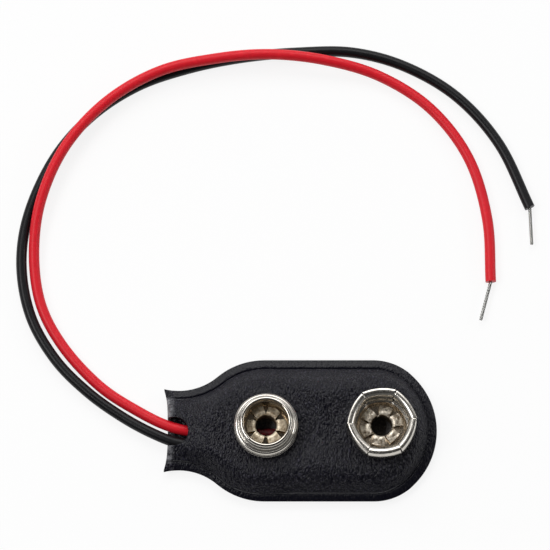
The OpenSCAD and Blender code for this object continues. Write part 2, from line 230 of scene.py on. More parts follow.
def layLead(name, spec):
    deselectAll()
    middle = [Vector((x, y, z + spec["diameter"] / 2)) * mm for x, y, z in spec["route"]]
    bpy.ops.curve.primitive_bezier_curve_add(location=(0, 0, 0))
    lead = bpy.context.object
    lead.name = name
    lead.data.name = name
    line = lead.data.splines[0]
    line.bezier_points.add(len(middle) - len(line.bezier_points))
    for k, knot in enumerate(line.bezier_points):
        before = middle[k - 1] if k else 2 * middle[0] - middle[1]
        after = middle[k + 1] if k + 1 < len(middle) else 2 * middle[-1] - middle[-2]
        pull = (after - before) / 6      # gives one smooth curve through all the points
        knot.handle_left_type = knot.handle_right_type = "FREE"
        knot.co = middle[k]
        knot.handle_left = middle[k] - pull
        knot.handle_right = middle[k] + pull
        knot.radius = 1
    lead.data.dimensions = "3D"
    lead.data.resolution_u = spec["alongSteps"]
    lead.data.bevel_depth = spec["diameter"] / 2 * mm
    lead.data.bevel_resolution = spec["roundSteps"]
    lead.data.use_fill_caps = True
    return lead


redInsulation = layLead("redInsulation", redLead)
blackInsulation = layLead("blackInsulation", blackLead)
print("leads: laid")


# stripped ends: tinned strands twisted round a middle one

strandSpec = {
    "strand": 0.128, "ring": 0.126, "around": 5, "pitch": 1.6, "sides": 10, "steps": 66, "tipPinch": 0.86,
    "smooth": 50.0,
}


def twistStrands(name, spec, lead, standsFor):
    deselectAll()
    turns = [2 * math.pi * k / spec["around"] for k in range(spec["around"])]
    spots = [(0, 0)] + [(spec["ring"] * math.cos(a), spec["ring"] * math.sin(a)) for a in turns]
    discs = []
    for x, y in spots:
        bpy.ops.mesh.primitive_circle_add(vertices=spec["sides"], radius=spec["strand"] / 2, fill_type="NGON",
                                          location=(x, y, 0))
        discs.append(bpy.context.object)
    bundle = joinPieces(discs[0], discs[1:])
    editAll(bundle)
    step = lead["bareLength"] / spec["steps"]
    twist = 2 * math.pi * step / spec["pitch"]
    for k in range(spec["steps"]):
        bpy.ops.mesh.extrude_region_move(TRANSFORM_OT_translate={"value": (0, 0, step)})
        bpy.ops.transform.rotate(value=twist, orient_axis="Z", center_override=(0, 0, 0))
    pinch = (spec["tipPinch"], spec["tipPinch"], 1)
    bpy.ops.transform.resize(value=pinch, center_override=(0, 0, lead["bareLength"]))
    bpy.ops.mesh.select_all(action="SELECT")
    bpy.ops.mesh.normals_make_consistent(inside=False)
    shadeBy(bundle, spec["smooth"])
    bundle.rotation_euler = (0, math.pi / 2, math.radians(lead["bareHeading"]))
    x, y, z = lead["route"][-1]
    settle(bundle, name, standsFor, (x, y, z + lead["diameter"] / 2))
    return bundle


redStrands = twistStrands("redStrands", strandSpec, redLead, "red_bare_end")
blackStrands = twistStrands("blackStrands", strandSpec, blackLead, "black_bare_end")


# cover: one folded sheet of leatherette, welded along three sides

coverSpec = {
    "length": 30.2, "width": 16.0, "neckWidth": 9.0, "neckRadius": 6.6, "neckFlare": 1.6, "tipFlat": 0.6,
    "cornerDrop": 1.8, "sheet": 0.35, "height": 2.72, "neckHeight": 2.025, "ramp": 3.98,
    # at some x, how wide the weld is and how deep the crease beside it
    "farWeld": [(-15.1, 0.92), (-6, 1.04), (7, 1.04), (14, 0.95)],
    "nearWeld": [(-15.1, 0.98), (-13, 0.86), (-8.5, 0.52), (-5, 0.62), (0, 0.76), (8, 0.76), (14, 0.95)],
    "farCrease": [(8, 0.11), (14, 0.07)], "nearCrease": [(8, 0.03), (14, 0.07)], "creaseWidth": 0.11,
    "weldThick": 0.65, "weldLift": 0.5, "edgeDrop": 0.24, "edgePower": 1.4,
    "cutInset": 0.04, "cutStep": 0.05, "cutRound": 0.03,
    "beadHeight": 0.07, "beadInset": 0.2, "beadWidth": 0.1,
    "foldRadius": 0.9, "foldSag": 0.4, "sagPower": 4, "neckRun": 2.2, "sideRun": 2.9, "tipRun": 1.7,
    "mouthWidth": 3.2, "mouthDepth": 2.3, "mouthOffset": 0.3, "mouthFloor": 0.42, "mouthCut": 4.0,
    "eyeletHole": 1.36, "mouthSides": 64, "holeSides": 48,
    # the puffed middle, with waves given as size, length and seed
    "puff": 0.26, "puffRamp": 3.0, "waves": [(0.12, 4.2, 3.7), (0.03, 1.7, 9.1)],
    "contactReach": 4.3, "contactFade": 2.3,
    # soft wrinkles from one x and y to another, each with its width and height
    "wrinkles": [
        (-0.1, 6.0, 2.0, 3.2, 0.6, 0.12), (0.4, 3.4, 4.6, 3.6, 1.5, 0.16), (0.2, -0.9, 4.8, -1.2, 1.8, -0.2),
        (4.1, -0.5, 4.9, -1.3, 0.4, 0.08), (-0.4, -3.6, 2.8, -3.2, 1.0, 0.08),
        (-9.8, 3.6, -7.2, 4.6, 0.7, 0.12), (-9.5, -3.4, -7.0, -4.6, 0.8, 0.08)],
    # how finely the mesh is cut
    "outlineSteps": {"fold": 12, "neck": 12, "shoulder": 14, "side": 24, "corner": 18, "tip": 8},
    "edgeSteps": [0.07, 0.16, 0.42, 0.7, 0.86, 0.94, 1.0, 1.06], "middleSteps": 20,
    "riseSteps": [0.05, 0.085, 0.125, 0.17, 0.22, 0.29, 0.37, 0.46, 0.56, 0.67, 0.8, 1.0],
    "foldSteps": [0.25, 0.5, 0.75], "hollowTurn": 60.0, "mergeGap": 0.0004, "smooth": 42.0,
}
studPlace = middleOf("stud_contact")
socketPlace = middleOf("socket_contact")


# half of the outline from the fold to the tip, each station with the direction inwards
def coverOutline(spec, firstTurn):
    steps, neckR, drop = spec["outlineSteps"], spec["neckRadius"], spec["cornerDrop"]
    foldX, tipX, shoulderR = -spec["length"] / 2, spec["length"] / 2, spec["width"] / 2
    neckX, neckY = foldX + spec["neckFlare"], spec["neckWidth"] / 2 + neckR
    shoulderX = neckX + math.sqrt((neckR + shoulderR) ** 2 - neckY ** 2)
    sweep = math.degrees(math.atan2(shoulderX - neckX, neckY))
    tipR, cornerR = shoulderR + spec["tipFlat"], shoulderR - drop
    cornerX = tipX - tipR + math.sqrt((tipR - cornerR) ** 2 - drop ** 2)
    cornerTurn = math.degrees(math.atan2(drop, cornerX - tipX + tipR))
    stations = []
    for k in range(steps["fold"] + 1):
        turn = firstTurn + (90 - firstTurn) * k / steps["fold"]
        x = foldX + spec["foldRadius"] * (1 - math.cos(math.radians(turn)))
        stations.append((x, neckY - math.sqrt(neckR ** 2 - (x - neckX) ** 2), 0, -1))

    def follow(cx, cy, radius, start, end, count, side, first=1):
        for k in range(first, count + 1):
            a = math.radians(start + (end - start) * k / count)
            outX, outY = math.cos(a), math.sin(a)
            stations.append((cx + radius * outX, cy + radius * outY, side * outX, side * outY))

    follow(neckX, neckY, neckR, 270, 270 + sweep, steps["neck"], 1, 0)
    follow(shoulderX, 0, shoulderR, 90 + sweep, 90, steps["shoulder"], -1)
    for k in range(1, steps["side"] + 1):
        stations.append((shoulderX + (cornerX - shoulderX) * k / steps["side"], shoulderR, 0, -1))
    follow(cornerX, drop, cornerR, 90, cornerTurn, steps["corner"], -1)
    follow(tipX - tipR, 0, tipR, cornerTurn, 0, steps["tip"], -1)
    places = {"foldX": foldX, "tipX": tipX, "neckX": neckX, "shoulderX": shoulderX, "cornerX": cornerX}
    return stations, places


def alongMarks(marks, x):
    if x <= marks[0][0]:
        return marks[0][1]
    for (x0, v0), (x1, v1) in zip(marks, marks[1:]):
        if x <= x1:
            return v0 + (v1 - v0) * easeBetween(x0, x1, x)
    return marks[-1][1]


# how far the rise from the weld to the full height runs inwards
def riseLength(spec, places, x):
    return alongMarks([(places["neckX"], spec["neckRun"]), (places["shoulderX"], spec["sideRun"]),
                       (places["cornerX"], spec["sideRun"]), (places["tipX"], spec["tipRun"])], x)


# how much the leatherette puffs up away from the two contacts, with slow waves and a few soft wrinkles
def softRise(spec, x, y):
    near = min(math.hypot(x - c.x, y - c.y) for c in (studPlace, socketPlace))
    free = easeBetween(spec["contactReach"], spec["contactReach"] + spec["contactFade"], near)
    rise = spec["puff"]
    for size, length, seed in spec["waves"]:
        rise += size * noise.noise(Vector((x / length, y / length, seed)))
    spot = Vector((x, y))
    for x0, y0, x1, y1, width, height in spec["wrinkles"]:
        start, way = Vector((x0, y0)), Vector((x1 - x0, y1 - y0))
        along = min(max((spot - start).dot(way) / way.length_squared, 0.0), 1.0)
        rise += height * math.exp(-((spot - start - way * along).length / width) ** 2)
    return max(0.0, free * rise)


# half a row, from the cut edge inwards: inset, share of the rise and how far the skin sinks
def halfRow(spec, weld, depth, run, inner):
    if inner:
        return [(weld + run * spec["riseSteps"][0], 0.0, None)] + [
            (weld + run * u, 1 - (1 - u) ** 2, 0.0) for u in spec["riseSteps"][1:]]
    mid, drop, corner = spec["weldThick"] / 2, spec["edgeDrop"], spec["cutRound"]
    half = [(spec["cutInset"], 0.0, mid), (0.0, 0.0, mid - spec["cutStep"]),
            (0.0, 0.0, drop + corner), (corner, 0.0, drop)]
    for part in spec["edgeSteps"]:
        crease = max(0.0, 1 - abs(part - 1) * weld / spec["creaseWidth"]) * depth
        half.append((part * weld, 0.0, crease + drop * max(0.0, 1 - part) ** spec["edgePower"]))
    for u in spec["riseSteps"]:
        bead = spec["beadHeight"] * math.exp(-((u * run - spec["beadInset"]) / spec["beadWidth"]) ** 2)
        half.append((weld + run * u, 1 - (1 - u) ** 2, -bead))
    return half


# one row of points across the cover: x, y, share of the rise and how far the skin sinks
def coverRow(spec, places, station, inner):
    x, y, inX, inY = station
    run = riseLength(spec, places, x)
    far = [(x + inX * i, y + inY * i, share, sink) for i, share, sink in halfRow(
        spec, alongMarks(spec["farWeld"], x), alongMarks(spec["farCrease"], x), run, inner)]
    near = [(x + inX * i, -y - inY * i, share, sink) for i, share, sink in halfRow(
        spec, alongMarks(spec["nearWeld"], x), alongMarks(spec["nearCrease"], x), run, inner)]
    (x0, y0, share, sink), (x1, y1) = far[-1], near[-1][:2]
    spans = [k / spec["middleSteps"] for k in range(1, spec["middleSteps"])]
    middle = [(x0 + (x1 - x0) * t, y0 + (y1 - y0) * t, share, sink) for t in spans]
    return far + middle + near[::-1]


# the outer skin of the folded sheet, or the skin of the hollow in it
def coverSkin(spec, inner):
    stations, places = coverOutline(spec, spec["hollowTurn"] if inner else 0)
    rows = [coverRow(spec, places, station, inner) for station in stations]
    weldTop = spec["weldLift"] + spec["weldThick"]
    wall = spec["sheet"] if inner else 0.0
    neckX = places["neckX"]

    def upperAndLower(point):
        x, y, share, sink = point
        past = x - places["foldX"]
        u = max(0.0, 1 - past / spec["foldRadius"])
        roundness = math.sqrt(1 - u * u)
        full = spec["neckHeight"] + (spec["height"] - spec["neckHeight"]) * easeBetween(
            neckX, neckX + spec["ramp"], x)
        full += softRise(spec, x, y) * easeBetween(neckX, neckX + spec["puffRamp"], x)
        sag = spec["foldSag"] * (1 - min(abs(y) / (spec["neckWidth"] / 2), 1) ** spec["sagPower"])
        sag *= max(0.0, 1 - past / spec["neckFlare"])
        top = weldTop + (full - weldTop) * roundness * share - wall
        low = spec["weldLift"] * (1 - roundness * share) + wall
        if sink is None:                 # rim of the hollow, half way between the two layers
            top = low = (top + low) / 2
        else:
            top, low = top - sink, low + sink
        return Vector((x + sag, y, top)), Vector((x + sag, y, low))

    pairs = [[upperAndLower(p) for p in row] for row in rows]
    sheetRows = [[low for top, low in row] for row in reversed(pairs)]
    for t in [] if inner else spec["foldSteps"]:
        sheetRows.append([low.lerp(top, t) for top, low in pairs[0]])
    sheetRows += [[top for top, low in row] for row in pairs]

    deselectAll()
    across, along = len(sheetRows[0]) - 1, len(sheetRows) - 1
    bpy.ops.mesh.primitive_grid_add(x_subdivisions=across, y_subdivisions=along, size=2, location=(0, 0, 0))
    skin = bpy.context.object
    for v in skin.data.vertices:
        v.co = sheetRows[round((v.co.y + 1) / 2 * along)][round((v.co.x + 1) / 2 * across)]
    editAll(skin)
    closeMesh(spec["mergeGap"], inner)
    return skin, places


# area of the cut sheet: the outline twice, joined at the fold
def flatArea(spec):
    stations = coverOutline(spec, 0)[0]
    half = sum((b[0] - a[0]) * (a[1] + b[1]) / 2 for a, b in zip(stations, stations[1:]))
    return 4 * half


def addPunch(sides, radius, depth, place):
    deselectAll()
    bpy.ops.mesh.primitive_cylinder_add(vertices=sides, radius=radius, depth=depth, location=place)
    applyPlace()
    return bpy.context.object


def makeCover(spec):
    skin, places = coverSkin(spec, False)
    finer = skin.modifiers.new("finer", "SUBSURF")
    finer.levels = finer.render_levels = 1
    applyModifiers(skin)
    cover = joinPieces(skin, [coverSkin(spec, True)[0]])
    mouthR, reach = spec["mouthWidth"] / 2, spec["mouthCut"]
    mouthX = places["foldX"] + spec["foldSag"] + spec["mouthDepth"] - mouthR
    punch = addPunch(spec["mouthSides"], mouthR, reach, (0, 0, 0))
    editAll(punch)
    bpy.ops.mesh.select_all(action="DESELECT")
    leaveEdit()
    for v in punch.data.vertices:
        v.select = v.co.x < -spec["mergeGap"]
    bpy.ops.object.mode_set(mode="EDIT")
    bpy.ops.transform.translate(value=(-reach, 0, 0))      # a slot that runs out through the fold
    bpy.ops.mesh.select_all(action="SELECT")
    bpy.ops.transform.translate(value=(mouthX, -spec["mouthOffset"], spec["mouthFloor"] + reach / 2))
    holes = [addPunch(spec["holeSides"], spec["eyeletHole"], spec["height"], (c.x, c.y, spec["height"]))
             for c in (studPlace, socketPlace)]            # round holes that the eyelets pass through
    punch = joinPieces(punch, holes)
    cut = cover.modifiers.new("mouth", "BOOLEAN")
    cut.operation = "DIFFERENCE"
    cut.solver = "EXACT"
    cut.object = punch
    applyModifiers(cover)
    bpy.data.objects.remove(punch, do_unlink=True)
    shadeBy(cover, spec["smooth"])
    settle(cover, "weldedCover", "cover")
    flatArea(spec) * mm * mm
    return cover


weldedCover = makeCover(coverSpec)


# stud: a drawn cup with a foot, a round skirt with fine rings, a waist and a rim rolled inwards

studSpec = {
    "wall": 0.3, "hole": 1.35, "baseR": 3.6, "baseRound": 0.4, "baseEnd": -10.0, "skirtR": 1.0, "waistR": 2.7,
    "neckR": 0.45, "beadR": 2.87, "beadLength": 0.5, "beadStep": (0.04, 0.05), "rollR": 0.23, "height": 2.6,
    "footTurn": 5.0, "footWidth": 4.0, "footGroove": 0.1,
    "ringTurn": 18.0, "ringDepth": 0.05, "ringFade": (6.0, 38.0), "ringPower": 4,
    "outerSteps": 60, "innerSteps": 16, "bendSteps": 8, "rollSteps": 22, "steps": 144, "smooth": 40.0,
}


def makeStud(spec):
    half, foot, bends = spec["wall"] / 2, spec["baseRound"], spec["bendSteps"]
    base, waist, bead = spec["baseR"] - half, spec["waistR"] - half, spec["beadR"] - half
    top = spec["height"] - spec["beadLength"]
    neckX, neckZ = waist + spec["neckR"], top - bead + waist
    skirtX = base - spec["skirtR"]
    reach = spec["skirtR"] + spec["neckR"]
    meet = math.degrees(math.acos((neckX - skirtX) / reach))
    skirtZ = neckZ - reach * math.sin(math.radians(meet))

    def ringDip(turn):
        groove = spec["footGroove"] * math.exp(-((turn - spec["footTurn"]) / spec["footWidth"]) ** 2)
        wave = 0.5 - 0.5 * math.cos(2 * math.pi * turn / spec["ringTurn"])
        return groove + spec["ringDepth"] * wave ** spec["ringPower"] * easeBetween(*spec["ringFade"], turn)

    # one face of the wall, from the hole up to the bead; the outer face has the rings
    def wallSide(off, steps):
        path = [(spec["hole"], half - off)]
        path += arcPoints(base - foot, half + foot, foot + off, -90, spec["baseEnd"], bends)
        for k in range(steps + 1):
            turn = meet * k / steps
            radius = spec["skirtR"] + off - (ringDip(turn) if off > 0 else 0)
            path += arcPoints(skirtX, skirtZ, radius, turn, turn, 1)[:1]
        path += arcPoints(neckX, neckZ, spec["neckR"] - off, 180 + meet, 180, bends)
        inset, drop = spec["beadStep"]
        return path + [(bead + off - inset, top - drop), (bead + off, top)]

    rollX, rollZ = spec["beadR"] - spec["rollR"], spec["height"] - spec["rollR"]
    rollEnd = 360 - math.degrees(math.acos((bead - half - rollX) / spec["rollR"]))
    rim = arcPoints(rollX, rollZ, spec["rollR"], 0, rollEnd, spec["rollSteps"])
    outline = wallSide(half, spec["outerSteps"]) + rim + wallSide(-half, spec["innerSteps"])[::-1]
    stud = drawProfile(outline + outline[:1])
    spinProfile(stud, spec["steps"])
    shadeBy(stud, spec["smooth"])
    place = (studPlace.x, studPlace.y, undersideOf("stud_contact"))
    settle(stud, "studCup", "stud_contact", place)
    return stud


studCup = makeStud(studSpec)


# socket: six bowed spring leaves with a rolled lip on a round floor

socketSpec = {
    "wall": 0.3, "hole": 1.35, "floorR": 3.05, "floorWall": 0.26, "floorRounding": 0.03, "leafStart": 2.7,
    "baseR": 3.75, "baseRound": 0.5, "skirtR": 1.1, "skirtStart": 4.0, "skirtGap": 2.0, "throatR": 2.84,
    "lipR": 3.45, "lipEnd": 65.0, "height": 2.9, "bow": 2.0, "sweep": 50.0, "slit": 0.14, "leaves": 6,
    "turn": 5.0, "rounding": 0.05, "lean": [0.8, 0.0, 1.4, 3.2, 0.4, 2.0],
    "baseSteps": 8, "skirtSteps": 10, "lipSteps": 20, "leafSteps": 20, "floorSteps": 96, "smooth": 40.0,
}


def makeSocket(spec):
    half, foot = spec["wall"] / 2, spec["baseRound"]
    base, throat = spec["baseR"] - half, spec["throatR"] + half
    lipRound = spec["lipR"] - throat
    lipX, lipZ = throat + lipRound, spec["height"] - half - lipRound
    skirtX = base - spec["skirtR"]
    meet = math.degrees(math.acos((lipX - skirtX) / (spec["skirtR"] + lipRound)))
    skirtZ = lipZ - (spec["skirtR"] + lipRound) * math.sin(math.radians(meet))
    path = [(spec["leafStart"], half)]
    path += arcPoints(base - foot, half + foot, foot, -90, 0, spec["baseSteps"])
    path += arcPoints(skirtX, skirtZ, spec["skirtR"], spec["skirtStart"], meet - spec["skirtGap"],
                      spec["skirtSteps"])
    path += arcPoints(lipX, lipZ, lipRound, 180 + meet, spec["lipEnd"], spec["lipSteps"])
    leaf = drawProfile(path)
    spinProfile(leaf, spec["leafSteps"], spec["sweep"], spec["sweep"] / 2, -spec["bow"])
    halfSlice = math.pi / spec["leaves"]
    apex = (spec["slit"] / 2 / math.sin(halfSlice), 0, 0)
    for side in (1, -1):
        editAll(leaf)
        away = (-math.sin(halfSlice), side * math.cos(halfSlice), 0)
        bpy.ops.mesh.bisect(plane_co=apex, plane_no=away, clear_outer=True)
    giveWall(leaf, spec["wall"], spec["rounding"])
    leaves = []
    for k in range(spec["leaves"]):
        pick(leaf)
        bpy.ops.object.duplicate(linked=False)
        copy = bpy.context.object
        editAll(copy)
        bpy.ops.transform.rotate(value=math.radians(spec["lean"][k]), orient_axis="Y",
                                 center_override=(spec["leafStart"], 0, half))
        leaveEdit()
        turnPiece(copy, math.radians(spec["turn"]) + halfSlice * (2 * k + 1))
        leaves.append(copy)
    bpy.data.objects.remove(leaf, do_unlink=True)
    floor = drawProfile([(spec["hole"], half), (spec["floorR"], half)])
    spinProfile(floor, spec["floorSteps"])
    giveWall(floor, spec["floorWall"], spec["floorRounding"])
    socket = joinPieces(floor, leaves)
    shadeBy(socket, spec["smooth"])
    place = (socketPlace.x, socketPlace.y, undersideOf("socket_contact"))
    settle(socket, "socketLeaves", "socket_contact", place)
    return socket


socketLeaves = makeSocket(socketSpec)


# eyelets: head, barrel and six petals rolled out over the contact's floor

eyeletSpec = {
    "wall": 0.2, "barrelR": 1.2, "headR": 2.1, "headZ": 1.7, "headRound": 0.15, "floorZ": 3.02, "reach": 1.02,
    "rise": 0.5, "bend": 0.3, "petals": 6, "petalWidth": 1.12, "endWidth": 1.42, "droop": 0.05,
    "dentSize": 0.75, "dentSeed": 7.3, "rounding": 0.035,
    "rollSteps": 14, "sideSteps": 12, "headSteps": 5, "barrelSteps": 72, "smooth": 40.0,
}
studRivet = {
    "turn": 0.0, "lift": [1.0, 0.86, 1.02, 0.9, 1.0, 0.84], "ends": [0.62, 0.3, 0.5, 0.4, 0.7, 0.6],
    "twist": [0, 3, -2, 1.5, -3, 0.5], "length": [1.0, 0.93, 1.04, 0.9, 1.0, 0.96], "dent": 0.06,
}
socketRivet = {
    "turn": 18.0, "lift": [0.98, 0.85, 0.92, 1.0, 0.87, 1.02], "ends": [0.6, 0.35, 0.4, 0.3, 0.55, 0.7],
    "twist": [1, -3, 3, 0, 2, -2.5], "length": [1.1, 0.98, 1.14, 1.04, 1.08, 0.97], "dent": 0.12,
}


def makePetal(spec, own, k):
    deselectAll()
    bpy.ops.mesh.primitive_grid_add(x_subdivisions=spec["rollSteps"], y_subdivisions=spec["sideSteps"],
                                    size=2, location=(0, 0, 0))
    petal = bpy.context.object
    bend, end, size = spec["bend"], own["ends"][k], spec["dentSize"]
    for v in petal.data.vertices:
        roll = math.pi * (v.co.x + 1) / 2
        splay = (1 - math.cos(roll)) / 2
        across = v.co.y / 2 * (spec["petalWidth"] + (spec["endWidth"] - spec["petalWidth"]) * splay)
        out = spec["barrelR"] + spec["reach"] * own["length"][k] * splay
        if splay < bend:
            height = math.sqrt(1 - ((bend - splay) / bend) ** 2)
        else:
            height = 1 - (1 - end) * (splay - bend) / (1 - bend)
        droop = spec["droop"] * v.co.y ** 2 * height        # the sides droop a little
        spot = Vector((v.co.x / size, v.co.y / size, spec["dentSeed"] * k + own["turn"]))
        dent = own["dent"] * splay * noise.noise(spot)
        v.co = (math.sqrt(out ** 2 - across ** 2), across,
                spec["floorZ"] + spec["rise"] * own["lift"][k] * height - droop + dent)
    giveWall(petal, spec["wall"], spec["rounding"])
    return petal


def makeEyelet(name, spec, own, standsFor, place):
    petals = []
    for k in range(spec["petals"]):
        petals.append(makePetal(spec, own, k))
        turnPiece(petals[k], math.radians(own["turn"] + own["twist"][k] + 360 / spec["petals"] * k))
    head = spec["headRound"]
    bend = arcPoints(spec["barrelR"] + head, spec["headZ"] + head, head, 270, 180, spec["headSteps"])
    barrel = drawProfile([(spec["headR"], spec["headZ"])] + bend + [(spec["barrelR"], spec["floorZ"])])
    spinProfile(barrel, spec["barrelSteps"])
    giveWall(barrel, spec["wall"], spec["rounding"])
    eyelet = joinPieces(barrel, petals)
    shadeBy(eyelet, spec["smooth"])
    settle(eyelet, name, standsFor, (place.x, place.y, 0))
    return eyelet


studEyelet = makeEyelet("studEyelet", eyeletSpec, studRivet, "stud_eyelet", studPlace)
socketEyelet = makeEyelet("socketEyelet", eyeletSpec, socketRivet, "socket_eyelet", socketPlace)


# nodes that the finishes share

def addNode(tree, kind, links=None, **values):
    node = tree.nodes.new(kind)
    for key, value in values.items():
        setattr(node, key, value)
    for key, value in (links or {}).items():
        if isinstance(value, bpy.types.NodeSocket):
            tree.links.new(value, node.inputs[key])
        else:
            node.inputs[key].default_value = value
    return node


def mathOf(tree, operation, *values, clamp=False):
    node = addNode(tree, "ShaderNodeMath", dict(enumerate(values)), operation=operation, use_clamp=clamp)
    return node.outputs[0]


def noiseAt(tree, place, scale, detail, rough=0.5):
    links = {"Vector": place, "Scale": scale, "Detail": detail, "Roughness": rough}
    return addNode(tree, "ShaderNodeTexNoise", links).outputs


# goes from low to high while the factor goes from the start of its span to the end
def valueBetween(tree, factor, low, high, span=(0.0, 1.0), ease="LINEAR"):
    links = {"Value": factor, "From Min": span[0], "From Max": span[1], "To Min": low, "To Max": high}
    return addNode(tree, "ShaderNodeMapRange", links, interpolation_type=ease).outputs["Result"]


def colourBetween(tree, factor, dark, light):
    mix = addNode(tree, "ShaderNodeMix", data_type="RGBA")
    tree.links.new(factor, mix.inputs["Factor"])
    for socket, colour in ((mix.inputs[6], dark), (mix.inputs[7], light)):
        if isinstance(colour, bpy.types.NodeSocket):
            tree.links.new(colour, socket)
        else:
            socket.default_value = (*colour, 1)
    return mix.outputs[2]


def newGroup(name, values, outputs):
    group = bpy.data.node_groups.new(name, "ShaderNodeTree")
    group.interface.new_socket(name="Vector", in_out="INPUT", socket_type="NodeSocketVector")
    for socket, value in values.items():
        made = group.interface.new_socket(name=socket, in_out="INPUT", socket_type="NodeSocketFloat")
        made.default_value = value
    for socket in outputs:
        group.interface.new_socket(name=socket, in_out="OUTPUT", socket_type="NodeSocketFloat")
    return group, group.nodes.new("NodeGroupInput").outputs, group.nodes.new("NodeGroupOutput").inputs


# fine pebbles with winding valleys between them, some of them standing higher

pebbleSpec = {
    "drift": 0.11, "driftDetail": 2.0, "scatter": 0.9, "dome": (0.01, 0.34), "tilt": (0.42, 0.64),
    "mottleDetail": 3.0, "mottleRough": 0.55, "cloud": (0.3, 0.7), "cloudShade": (0.55, 1.2),
}


def pebbleGroup(spec):
    group, inlet, outlet = newGroup("pebbleGrain", {"Cells": 4000.0, "Mottle": 300.0},
                                    ["Height", "Shade", "Gloss"])
    drift = noiseAt(group, inlet["Vector"], inlet["Cells"], spec["driftDetail"])
    pull = addNode(group, "ShaderNodeVectorMath", {0: drift["Color"], 1: [spec["drift"] * mm] * 3},
                   operation="MULTIPLY")
    bent = addNode(group, "ShaderNodeVectorMath", {0: inlet["Vector"], 1: pull.outputs[0]}, operation="ADD")
    cells = addNode(group, "ShaderNodeTexVoronoi", {
        "Vector": bent.outputs[0], "Scale": inlet["Cells"], "Randomness": spec["scatter"]},
        feature="DISTANCE_TO_EDGE")
    mottle = noiseAt(group, inlet["Vector"], inlet["Mottle"], spec["mottleDetail"], spec["mottleRough"])
    dome = valueBetween(group, cells.outputs["Distance"], 0.0, 1.0, spec["dome"], "SMOOTHSTEP")
    tilt = valueBetween(group, drift["Fac"], 0.0, 1.0, spec["tilt"])
    cloud = valueBetween(group, mottle["Fac"], *spec["cloudShade"], spec["cloud"])
    # the shade darkens the valleys as painted shade and lightens the higher crowns as painted highlight,
    # under a random cloud of tone
    crown = mathOf(group, "MULTIPLY", dome, tilt)
    group.links.new(mathOf(group, "ADD", dome, tilt), outlet["Height"])
    group.links.new(mathOf(group, "MULTIPLY", cloud, crown, clamp=True), outlet["Shade"])
    group.links.new(mottle["Fac"], outlet["Gloss"])
    return group


# blotches of handling and fine scratches

platingSpec = {"blotchDetail": 4.0, "blotchRough": 0.6, "scratchDetail": 2.0}


def platingGroup(spec):
    group, inlet, outlet = newGroup("handledPlating", {"Blotch": 700.0, "Scratch": 9000.0},
                                    ["Tint", "Gloss", "Height"])
    blotch = noiseAt(group, inlet["Vector"], inlet["Blotch"], spec["blotchDetail"], spec["blotchRough"])
    scratch = noiseAt(group, inlet["Vector"], inlet["Scratch"], spec["scratchDetail"])
    group.links.new(blotch["Fac"], outlet["Tint"])
    group.links.new(mathOf(group, "MULTIPLY", scratch["Fac"], blotch["Fac"]), outlet["Gloss"])
    group.links.new(scratch["Fac"], outlet["Height"])
    return group


# how far a point is from a piece's own middle line, as a mask that is 1 inside
def insideGroup():
    group, inlet, outlet = newGroup("tarnishedInside", {"Reach": 0.0025, "Fade": 0.0026}, ["Mask"])
    level = addNode(group, "ShaderNodeVectorMath", {0: inlet["Vector"], 1: (1, 1, 0)}, operation="MULTIPLY")
    away = addNode(group, "ShaderNodeVectorMath", {0: level.outputs[0]}, operation="LENGTH")
    mask = valueBetween(group, away.outputs["Value"], 1.0, 0.0, (inlet["Reach"], inlet["Fade"]))
    group.links.new(mask, outlet["Mask"])
    return group


pebbleGrain = pebbleGroup(pebbleSpec)
tarnishedInside = insideGroup()
handledPlating = platingGroup(platingSpec)


# how a finish is put together from them

noiseSpan = (0.25, 0.75)                                   # where most of a noise lies
blotchSpan = (0.3, 0.6)
blotchDetail = 4.0


def newPaint(name, spec):
    paint = bpy.data.materials.new(name)
    paint.use_nodes = True
    shader = paint.node_tree.nodes["Principled BSDF"]
    shader.inputs["Metallic"].default_value = spec.get("metallic", 0.0)
    shader.inputs["Specular IOR Level"].default_value = spec.get("specular", 0.5)
    return paint, paint.node_tree, shader


def bumpFrom(tree, shader, height, strength, depth):
    bump = addNode(tree, "ShaderNodeBump", {"Height": height, "Strength": strength, "Distance": depth * mm})
    tree.links.new(bump.outputs["Normal"], shader.inputs["Normal"])


# 1 within some limits, each an axis, where the mask starts and where it is full
# Aside is the distance from y = 0
def placeMask(tree, place, limits):
    parts = addNode(tree, "ShaderNodeSeparateXYZ", {"Vector": place}).outputs
    aside = mathOf(tree, "ABSOLUTE", parts["Y"])
    mask = None
    for axis, start, full in limits:
        along = aside if axis == "Aside" else parts[axis]
        edge = valueBetween(tree, along, 0.0, 1.0, (start * mm, full * mm))
        mask = mathOf(tree, "MULTIPLY", mask, edge) if mask else edge
    return mask


# the pressed border, between the heights of its two faces and clear of the fold
def weldMask(tree, place, weld):
    fade = weld["fade"]
    return placeMask(tree, place, [
        ("Z", weld["top"] + fade, weld["top"]), ("Z", weld["bottom"] - fade, weld["bottom"]),
        ("X", weld["start"] - fade, weld["start"])])


# painted highlight along the thin ridge where the padded face meets the pressed border, broken up in patches
def ridgeMask(tree, place, patch, weld):
    ridge, width = weld["ridge"], weld["ridgeWidth"]
    line = placeMask(tree, place, [
        ("Z", ridge - width, ridge), ("Z", ridge + width, ridge),
        ("X", weld["start"] - weld["fade"], weld["start"])])
    shine = valueBetween(tree, patch, weld["leastShine"], 1.0, weld["shineSpan"])
    return mathOf(tree, "MULTIPLY", line, shine)


# a patch of another colour with a blotched edge, such as the fold's wear with its painted highlight or the
# painted shade on the end of a lead inside the cover
def patchColour(tree, place, colour, patch):
    blotch = noiseAt(tree, place, 1 / (patch["blotch"] * mm), blotchDetail)
    cover = valueBetween(tree, blotch["Fac"], patch["least"], 1.0, blotchSpan)
    mask = mathOf(tree, "MULTIPLY", placeMask(tree, place, patch["limits"]), cover)
    return colourBetween(tree, mask, colour, patch["colour"])


